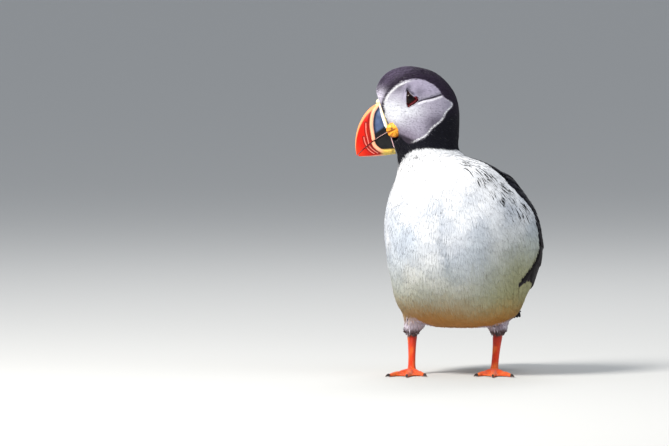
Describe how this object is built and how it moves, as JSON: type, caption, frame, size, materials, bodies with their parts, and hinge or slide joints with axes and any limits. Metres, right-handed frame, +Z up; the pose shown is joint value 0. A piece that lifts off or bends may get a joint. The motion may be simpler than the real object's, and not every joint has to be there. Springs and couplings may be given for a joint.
{
  "type": "atlantic puffin",
  "caption": "Still, life-size Atlantic puffin standing on both webbed feet, breast forward, head turned over its right shoulder.",
  "frame": {"origin": "on the floor under the middle of the bird's bounding box", "axes": "+Z up, the breast faces -Y, the bird's left side is +X"},
  "size_m": [0.1176, 0.15, 0.2114],
  "materials": {
    "white_feather": "matt white breast and belly feathers",
    "black_feather": "black back, wing, tail and collar feathers with a soft sheen",
    "grey_feather": "fine pale grey face feathers under a dark cap",
    "red_horn": "grooved satin horn, red outside and blue-grey at the base",
    "cream_skin": "pale fleshy strip",
    "yellow_skin": "wrinkled yellow-orange skin",
    "orange_skin": "fine-scaled orange leg skin",
    "dark_eye": "wet dark eye",
    "black_claw": "smooth black horn"
  },
  "bodies": {
    "root": {"head": "grey_feather", "neck": "black_feather", "trunk": "white_feather", "tail": "black_feather", "wing_left": "black_feather", "wing_right": "black_feather", "thigh_left": "white_feather", "thigh_right": "white_feather", "leg_left": "orange_skin", "leg_right": "orange_skin", "foot_left": "orange_skin", "foot_right": "orange_skin", "claw_left_inner": "black_claw", "claw_left_middle": "black_claw", "claw_left_outer": "black_claw", "claw_right_inner": "black_claw", "claw_right_middle": "black_claw", "claw_right_outer": "black_claw", "eye_left": "dark_eye", "eye_right": "dark_eye", "bill_upper": "red_horn", "bill_lower": "red_horn", "cere": "cream_skin", "rosette_left": "yellow_skin", "rosette_right": "yellow_skin"}
  },
  "joints": []
}
